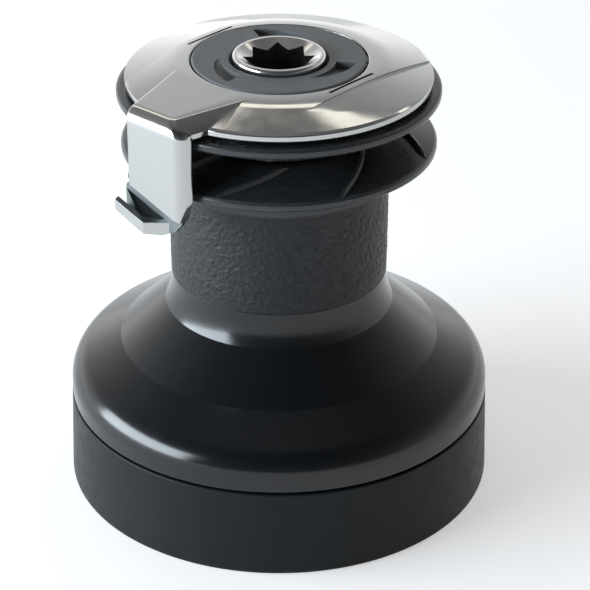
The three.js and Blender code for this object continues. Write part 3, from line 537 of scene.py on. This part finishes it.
# ---------------------------------------------------------------- jaws
rib_count = 8
rib_sweep = math.radians(52)
rib_start = 46.0  # radius where a rib stands at its first angle
jaw_bore = neck_radius + 0.35


def rib(name, inner, outer, first_angle, side):
    """A swept rib on a jaw's face, between two (radius, height) points. Side is 1 up or -1 down."""
    width, tall, sink = 1.7, 1.5, 1.2
    steps = 26
    sections = []
    for i in range(steps + 1):
        share = i / steps
        radius = inner[0] + (outer[0] - inner[0]) * share
        height = inner[1] + (outer[1] - inner[1]) * share
        angle = first_angle - math.tan(rib_sweep) * math.log(radius / rib_start)
        rise = tall * min(1.0, 7 * share + 0.1, 5 * (1 - share) + 0.1)
        heading = angle - rib_sweep
        across = Vector((-math.sin(heading), math.cos(heading), 0))
        profile = [
            (-width, -sink), (-width * 0.62, rise * 0.72), (-width * 0.38, rise * 0.97), (width * 0.1, rise),
            (width * 0.45, rise * 0.86), (width * 0.62, rise * 0.5), (width, -sink),
        ]
        centre = polar(radius, angle, height)
        sections.append([centre + across * (0.62 * u) + Vector((0, 0, side * v)) for u, v in profile])
    return loft(name, sections)


def add_ribs(jaw, inner, outer, side, first_angle):
    for i in range(rib_count):
        turned = first_angle + 2 * math.pi * i / rib_count
        combine(jaw, rib("rib", inner, outer, turned, side), "UNION")


def make_lower_jaw():
    bore = jaw_bore
    floor, rim = lower_high.z - 0.2, lower_high.x
    face_end = floor - 4.8
    hub = barrel_top + 3.5
    outline = rounded([
        (bore, hub, 0.2), (bore, floor - 0.4, 0.2), (bore + 2.6, floor, 0.8), (rim - 0.6, face_end, 0.9),
        (rim, face_end - 1.0, 0.7), (rim, face_end - 2.8, 0.8), (rim - 2, face_end - 4, 1.2),
        (barrel_radius + 5.6, barrel_top + 6.4, 1.5), (barrel_radius + 2.7, barrel_top + 4.6, 0.5),
        (barrel_radius + 2.7, lower_low.z, 0.5), (barrel_radius + 0.6, lower_low.z, 0.3),
        (barrel_radius + 0.6, hub, 0.3),
    ])
    jaw = lathe("lower_jaw_ring", outline, 288)
    add_ribs(jaw, (bore + 3.4, floor - 0.1), (rim - 1.2, face_end + 0.1), 1, math.radians(33))
    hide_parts("lower_jaw")
    dressed(jaw, "lower_jaw", "jaw_black", looks["jaw_black"])


def make_upper_jaw():
    bore = jaw_bore
    floor, rim, top = upper_low.z, upper_high.x, upper_high.z
    neck = drum_high.z
    outline = rounded([
        (neck_bore + 0.3, neck + 0.3, 0.2), (bore, neck + 0.3, 0.1), (bore, floor, 0.2),
        (bore + 2.6, floor, 0.8), (rim - 0.7, floor + 5.2, 0.9), (rim, floor + 6.1, 0.8),
        (rim, top - 0.3, 0.9), (rim - 1.6, top, 0.6), (rim - 6.4, top - 0.4, 1.2), (bore + 4.2, neck + 5.2, 1),
        (bore + 3.2, neck + 4, 0.3), (neck_bore + 0.3, neck + 4, 0.3),
    ])
    jaw = lathe("upper_jaw_ring", outline, 288)
    add_ribs(jaw, (bore + 3.4, floor + 0.1), (rim - 1.4, floor + 5.1), -1, math.radians(49))
    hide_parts("upper_jaw")
    dressed(jaw, "drum", "jaw_black", looks["jaw_black"])


# ---------------------------------------------------------------- cover and feeder arm
cover_bottom = upper_high.z + 1.0
cover_top = cap_high.z - 0.2
cover_rim = upper_high.x - 2.9
cover_seat = cap_low.z - 0.3
crown_end = 36.0
crown_slope = 0.05
arm_out = 61.3
arm_in = 57.0
arm_lip = 64.3
# the arm's own frame: X outwards, Y anticlockwise along the face, Z up
arm_frame = Matrix.Rotation(arm_angle, 4, "Z")
upright = Matrix(((1, 0, 0, 0), (0, 0, 1, 0), (0, 1, 0, 0), (0, 0, 0, 1)))
across_arm = arm_frame @ Matrix(((0, 0, 1, 0), (1, 0, 0, 0), (0, 1, 0, 0), (0, 0, 0, 1)))


def crown_height(radius):
    return cover_top - crown_slope * (radius - cap_high.x)


def cover_ring():
    seat_radius = cap_high.x + 0.45
    bore = 20.4
    edge = cover_bottom + 2.9
    outline = rounded([
        (bore, cover_bottom, 0.2), (cover_rim - 0.8, cover_bottom, 0.4), (cover_rim, cover_bottom + 0.9, 0.5),
        (cover_rim, edge - 0.2, 0.5), (cover_rim - 1.1, edge + 0.35, 0.6),
        (crown_end, crown_height(crown_end), 32), (seat_radius, crown_height(seat_radius), 0.5),
        (seat_radius, cover_seat, 0.2), (bore, cover_seat, 0.2),
    ])
    return lathe("cover", outline, 320)


def cut_creases(cover):
    """Beyond two straight lines the cover falls away to a lower facet, with a short groove inside each."""
    line = 34.4  # from the axis to the crease
    fall = math.radians(1.2)
    groove_at, groove_from, groove_to = 31.6, -10, 12
    level = cover_top - 0.8
    first, last = 20, 54
    facet_slope = 0.2
    surface = [Vector(p) for p in (
        (first, level + facet_slope * (line - first)), (last, level + facet_slope * (line - last)),
        (last, cover_top + 8), (first, cover_top + 8))]
    for middle in (math.radians(-42.6), math.radians(137.4)):
        out = polar(1, middle)
        tool = lathe("crease", surface, 320)
        pivot = (out * line + Vector((0, 0, level))) * MM
        turn = Matrix.Translation(pivot) @ Matrix.Rotation(-fall, 4, out) @ Matrix.Translation(-pivot)
        tool.data.transform(turn)
        sliced(tool, out * line + Vector((0, 0, cover_top)), -out + Vector((0, 0, 0.5)))
        combine(cover, tool, "DIFFERENCE")
        groove = [(groove_at - 0.45, cover_top - 1.5), (groove_at + 0.45, cover_top - 1.5),
                  (groove_at + 0.55, cover_top + 0.6), (groove_at - 0.55, cover_top + 0.6)]
        place = Matrix.Rotation(middle, 4, "Z") @ upright
        combine(cover, prism("groove", groove, groove_from, groove_to, place), "DIFFERENCE")


def arm_plate():
    """The arm: a flat top that bends down over a rounded edge into the outer face."""
    face_mid = 126.3
    root = 31
    corner = crown_height(arm_out)
    bend = [(root, crown_height(root) - 0.03, 0), (arm_out, corner - 0.03, 5.0), (arm_out, face_mid, 0)]
    path = rounded(bend, closed=False, step=0.6)
    fine = []
    for here, after in zip(path, path[1:]):
        steps = max(1, math.ceil((after - here).length / 2.2))
        fine += [here.lerp(after, k / steps) for k in range(steps)]
    fine.append(path[-1])
    sections = []
    for i, here in enumerate(fine):
        before, after = fine[max(i - 1, 0)], fine[min(i + 1, len(fine) - 1)]
        run = (after - before).normalized()
        normal = Vector((-run.y, run.x))
        down = 1 - normal.y  # 0 on the flat top, 1 on the face
        top_share = min(max((here.x - root) / 26, 0), 1)
        left = -19.6 + 7.0 * top_share if down < 0.02 else -12.6 + 0.6 * down
        edge = 14.8 - 8.0 * top_share + 2.4 * down
        right = edge + 6.4 - 2.6 * down if down > 0.02 else edge + 6.2
        right = right + (13 - right) * down
        edge = min(edge, right - 4.4) * (1 - down) + (right - 4.6) * down
        drop = 3.9 + 0.7 * down
        thick = 4.3 + 1.2 * (1 - down)
        corner_left = 1.1
        profile = [(left, -thick)]
        for k in range(6):
            turn = math.pi / 2 * k / 5
            profile.append((left + corner_left * (1 - math.cos(turn)), -corner_left * (1 - math.sin(turn))))
        profile += [(left + (edge - left) * k / 8, 0) for k in range(1, 8)]
        for k in range(9):
            share = k / 8
            flat = Vector((edge + (right - edge) * share, -drop * share))
            turn = math.pi / 2 * share
            arc = Vector((edge + (right - edge) * math.sin(turn), -drop * (1 - math.cos(turn))))
            profile.append(tuple(flat.lerp(arc, 0.12 + 0.88 * down)))
        profile.append((right, -max(thick, drop + 0.3)))
        low = max(0.0, min(1.0, (corner - 5 - here.y) / (corner - 5 - face_mid))) if down > 0.98 else 0.0
        ring = []
        for s, n in profile:
            at = here + normal * n
            ring.append(arm_frame @ Vector((at.x, s, at.y - 0.33 * s * low)))
        sections.append(ring)
    return loft("arm", sections)


ramp_slope = -0.328  # rise of the foot along the arm's face, towards its right end
foot_left = -15.4
wall_thickness = 1.9
lip_thickness = 1.6
end_cut = Vector((0.78, 0.626, 0))  # way that the angled end of the lip faces, in the arm's frame


def foot_wall():
    """The inner wall of the foot, with its rounded right end."""
    outline = rounded([
        (-12.2, 138, 0), (-12.2, 131.4, 0.8), (foot_left, 128.2, 1.5), (foot_left, 120.8, 1.2),
        (-2.4, 116.1, 3), (2.4, 115.6, 4), (6.6, 117.2, 4), (10.0, 121, 5), (12.4, 129.5, 6), (12.4, 138, 0),
    ])
    return bevelled(prism("wall", outline, arm_in, arm_in + wall_thickness, across_arm), 0.3)


def foot_block():
    """The lip round the gutter: its end is cut back at an angle and its top slopes outwards."""
    outline = rounded([
        (foot_left, 150, 0), (foot_left, 120.6, 1.2), (-2.4, 115.9, 1.5), (2.4, 115.5, 3),
        (6.6, 117.1, 4), (10.0, 121, 3), (11, 150, 0),
    ])
    block = prism("block", outline, arm_in + 0.4, arm_lip, across_arm)
    turned = arm_frame.to_3x3()
    sliced(block, turned @ Vector((arm_lip, -2.4, 120)), turned @ end_cut)
    sliced(block, turned @ Vector((arm_lip, 0, 119.2)), turned @ Vector((0.45, -ramp_slope, 1)))
    return bevelled(block, 0.45)


def gutter_tool():
    """What is taken out between the inner wall and the lip."""
    inner, outer = arm_in + wall_thickness, arm_lip - lip_thickness
    plan = [(inner, -20), (outer, -20), (outer, -3.7), (inner, 2.4)]
    return loft("gutter", [
        [arm_frame @ Vector((d, s, 115.8 + ramp_slope * s)) for d, s in plan],
        [arm_frame @ Vector((d, s, 140)) for d, s in plan]])


def brow():
    """The ledge over the gutter, which dies away into the face at its right end."""
    sections = []
    for s, out in ((-14.2, 62.0), (-6, 62.0), (0.5, 61.9), (5.0, arm_out + 0.02)):
        level = 126.0 + ramp_slope * s
        profile = [(arm_in + 1, 0), (out - 0.2, 0), (out, 0.2), (out - 0.05, 0.35),
                   (arm_out - 0.05, 1.75), (arm_in + 1, 1.75)]
        sections.append([arm_frame @ Vector((d, s, level + rise)) for d, rise in profile])
    return loft("brow", sections)


def arm_foot():
    """The channel under the face: an inner wall, a sloping gutter and an outer lip."""
    foot = foot_block()
    combine(foot, foot_wall(), "UNION")
    combine(foot, gutter_tool(), "DIFFERENCE")
    return combine(foot, brow(), "UNION")


def gutter_faces(obj):
    """Faces of the cover inside the gutter, where the casting isn't polished: they take a rougher metal whose
    darker colour is painted shade in the recess.
    """
    inward = arm_frame.inverted()
    for face in obj.data.polygons:
        at = inward @ (face.center / MM)
        under = 126.3 + ramp_slope * at.y
        facing = inward.to_3x3() @ face.normal
        if facing.z < -0.3 or facing.dot(end_cut) > 0.9 and at.x > arm_in + 2.2:
            continue
        if arm_in + 1.8 < at.x < arm_lip - 1.55 and -16.5 < at.y < 8 and 100 < at.z < under - 0.1:
            yield face


def make_cover():
    cover = cover_ring()
    cut_creases(cover)
    arm = arm_plate()
    combine(arm, arm_foot(), "UNION")
    # the rounded lower right corner of the arm's face
    side = rounded([
        (-30, 175, 0), (-30, 95, 0), (1, 95, 0), (3.4, 114.9, 3), (7.0, 116.7, 4), (10.4, 120.6, 6),
        (12.9, 129.5, 8), (13.4, 139, 0), (30, 139, 0), (30, 175, 0),
    ])
    combine(arm, prism("side", side, 20, arm_out + 10, across_arm), "INTERSECT")
    # nothing of the arm hangs down inside its inner face, where the jaws turn
    reach, low, high = arm_in - 0.02, cover_bottom - 40, cover_bottom - 0.02
    clear = [Vector(p) for p in ((0, low), (reach, low), (reach, high), (0, high))]
    combine(arm, lathe("clear", clear, 240), "DIFFERENCE")
    combine(cover, arm, "UNION")
    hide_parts("feeder_arm")
    dressed(cover, "base", "chrome_cover", looks["chrome_cover"], gutter_shade_look)
    for face in cover.data.polygons:
        face.material_index = 0
    # the faces inside the gutter take the darker metal, which is painted shade in the recess
    for face in gutter_faces(cover):
        face.material_index = 1


def make_stripper():
    """The ring in the rope groove, with a tongue out to the arm that lifts the rope off the jaws."""
    low, high = ring_low.z, ring_high.z
    inner, outer = neck_radius + 0.5, neck_radius + 3.6
    ring = lathe("stripper", rounded([
        (inner, low, 0.3), (outer, low, 0.7), (outer, high, 0.7), (inner, high, 0.3)]), 200)
    tongue = [(outer - 1.2, -6), (arm_in - 0.5, -9), (arm_in - 0.5, 7), (outer - 1.2, 9)]
    blade = bevelled(prism("tongue", tongue, low + 0.2, high - 0.2, arm_frame), 0.5)
    combine(ring, blade, "UNION")
    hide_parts("stripper_ring")
    dressed(ring, "base", "inner_plastic", looks["inner_plastic"])


# ---------------------------------------------------------------- cap and spindle
lip_radius = 16.0
cap_step = 20.3  # radius of the step under the cap's inner edge


def make_cap():
    seat, top, outer = cap_low.z, cap_high.z, cap_high.x
    outline = rounded([
        (cap_step, seat, 0.2), (outer, seat, 0.4), (outer - 0.1, top, 0.8), (lip_radius + 1.0, top, 0.5),
        (lip_radius + 1.0, seat + 1.2, 0.2), (cap_step, seat + 1.2, 0.2),
    ])
    cap = lathe("cap", outline, 256)
    for first in (-10, 110, 230):
        combine(cap, recess_tool(math.radians(first), top), "DIFFERENCE")
    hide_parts("top_cap")
    dressed(cap, "base", "cap_grey", looks["cap_grey"])


def recess_tool(first, top):
    """A crescent that is widest and deepest at its blunt end and tapers clockwise to nothing."""
    steps, sweep = 20, math.radians(47)
    sections = []
    for i in range(steps + 1):
        share = i / steps
        angle = first - sweep * share
        inner = 19.7 + 0.3 * share
        outer = 20.4 + 6.3 * (1 - share) ** 0.75
        floor = top - 2.5 * (1 - share) ** 1.1 - 0.02
        sections.append([polar(inner, angle, floor), polar(outer, angle, floor),
                         polar(outer, angle, top + 1), polar(inner, angle, top + 1)])
    return loft("recess", sections)


def make_spindle():
    top = spindle_high.z
    depth = 31
    shaft, hub = 9.0, top - depth - 2
    drive_top = 28.3
    mouth = 14.3
    cone_end, cone_low = 9.3, top - 2.8
    outline = rounded([
        (0, drive_top, 0), (shaft, drive_top, 0.5), (shaft, hub, 0.4), (lip_radius, hub, 0.6),
        (lip_radius, top, 1.15), (mouth, top, 0.8), (cone_end, cone_low, 0), (0, cone_low, 0),
    ], step=0.5)
    spindle = lathe("spindle", outline, 256)
    tip = 12.45
    valley = tip * math.sqrt(0.5) / math.cos(math.radians(22.5))
    start = math.radians(2.5)
    star = []
    for k in range(8):
        star.append((*polar(tip, start + math.radians(45 * k)).xy, 0.25))
        star.append((*polar(valley, start + math.radians(45 * k + 22.5)).xy, 0.35))
    combine(spindle, prism("star", rounded(star), top - depth, top + 2), "DIFFERENCE")
    drive_radius = 7.2
    drive = [polar(drive_radius, math.radians(60 * k)).xy for k in range(6)]
    hexagon = prism("drive", drive, spindle_low.z, drive_top + 1)
    combine(spindle, bevelled(hexagon, 0.4), "UNION")
    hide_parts("main_spindle")
    dressed(spindle, "spindle", "polished_steel", looks["polished_steel"])


# ---------------------------------------------------------------- studio


def make_floor():
    half = 3.0 / MM
    drop = -0.2
    corners = [(-half, -half, drop), (half, -half, drop), (half, half, drop), (-half, half, drop)]
    floor = piece("floor", corners, [(0, 1, 2, 3)])
    pale = Look("pale_floor", (0.83, 0.83, 0.84), roughness=0.7, Specular_IOR_Level=0.2,
                Emission_Color=(1, 1, 1, 1), Emission_Strength=0.46)
    floor.data.materials.append(pale.material)


def softbox(name, place, target, width, height, brightness, colour=(1, 1, 1)):
    """A rectangular light of an even brightness."""
    light = bpy.data.lights.new(name, "AREA")
    light.shape = "RECTANGLE"
    light.size = width
    light.size_y = height
    light.energy = brightness * math.pi * width * height
    light.color = colour
    lamp = bpy.data.objects.new(name, light)
    lamp.location = place
    lamp.rotation_euler = (Vector(target) - Vector(place)).to_track_quat("-Z", "Y").to_euler()
    bpy.context.scene.collection.objects.link(lamp)


def make_studio():
    make_floor()
    softbox("key", (-1.90, -0.46, 0.52), (0, 0, 0.06), 2.1, 0.95, 13.5, (0.82, 0.92, 1.0))
    softbox("back", (0, 0.80, 1.12), (0, 0, 0.155), 1.6, 0.13, 1.6, (1.0, 0.93, 0.80))
    world = bpy.data.worlds.new("studio")
    world.use_nodes = True
    tree = world.node_tree

    def node(kind, **settings):
        made = tree.nodes.new(kind)
        for key, value in settings.items():
            setattr(made, key, value)
        return made

    def share(value, from_low, from_high, low, high):
        made = node("ShaderNodeMapRange", interpolation_type="SMOOTHSTEP")
        tree.links.new(value, made.inputs["Value"])
        limits = {"From Min": from_low, "From Max": from_high, "To Min": low, "To Max": high}
        for socket, number in limits.items():
            made.inputs[socket].default_value = number
        return made.outputs["Result"]

    parts = node("ShaderNodeSeparateXYZ")
    tree.links.new(node("ShaderNodeTexCoord").outputs["Generated"], parts.inputs[0])
    ramp = node("ShaderNodeValToRGB")
    tree.links.new(parts.outputs[2], ramp.inputs[0])
    stops = ramp.color_ramp.elements
    # brightness of the surroundings from straight down (0) over the horizon (0.5) to straight up (1)
    heights = ((0.0, 1.0), (0.1, 1.0), (0.25, 0.74), (0.485, 0.42), (0.7, 0.26), (0.82, 0.15), (0.9, 0.16),
               (1.0, 0.26))
    for at, shade in heights[1:-1]:
        stops.new(at)
    for stop, (at, shade) in zip(stops, heights):
        stop.position = at
        stop.color = (shade, shade, shade, 1)
    both = node("ShaderNodeMath", operation="MULTIPLY")
    tree.links.new(share(parts.outputs[1], -1, 1, 0.1, 1.05), both.inputs[0])
    tree.links.new(share(parts.outputs[0], -0.16, 0.2, 1.1, 0.85), both.inputs[1])
    strength = node("ShaderNodeMath", operation="MULTIPLY")
    tree.links.new(both.outputs[0], strength.inputs[0])
    strength.inputs[1].default_value = 1.45
    back = tree.nodes["Background"]
    tree.links.new(ramp.outputs[0], back.inputs["Color"])
    tree.links.new(strength.outputs[0], back.inputs["Strength"])
    bpy.context.scene.world = world
    bpy.context.scene.view_settings.view_transform = "Standard"


def make_camera():
    """Looks down on the winch from the front, with a long lens, a little right of the axis."""
    distance = 0.7824
    tilt = math.radians(29.08)
    aim = Vector((0, 0, 0.4171 * spindle_high.z * MM))
    lens = bpy.data.cameras.new("camera")
    lens.lens = 132.8
    lens.sensor_width = 36
    lens.shift_x = 0.0271
    camera = bpy.data.objects.new("camera", lens)
    camera.location = aim + distance * Vector((0, -math.cos(tilt), math.sin(tilt)))
    camera.rotation_euler = (math.pi / 2 - tilt, 0, 0)
    bpy.context.scene.collection.objects.link(camera)
    bpy.context.scene.camera = camera


make_camera()
make_studio()
dress_frame()
make_base()
make_drum()
make_lower_jaw()
make_upper_jaw()
make_cover()
make_stripper()
make_cap()
make_spindle()
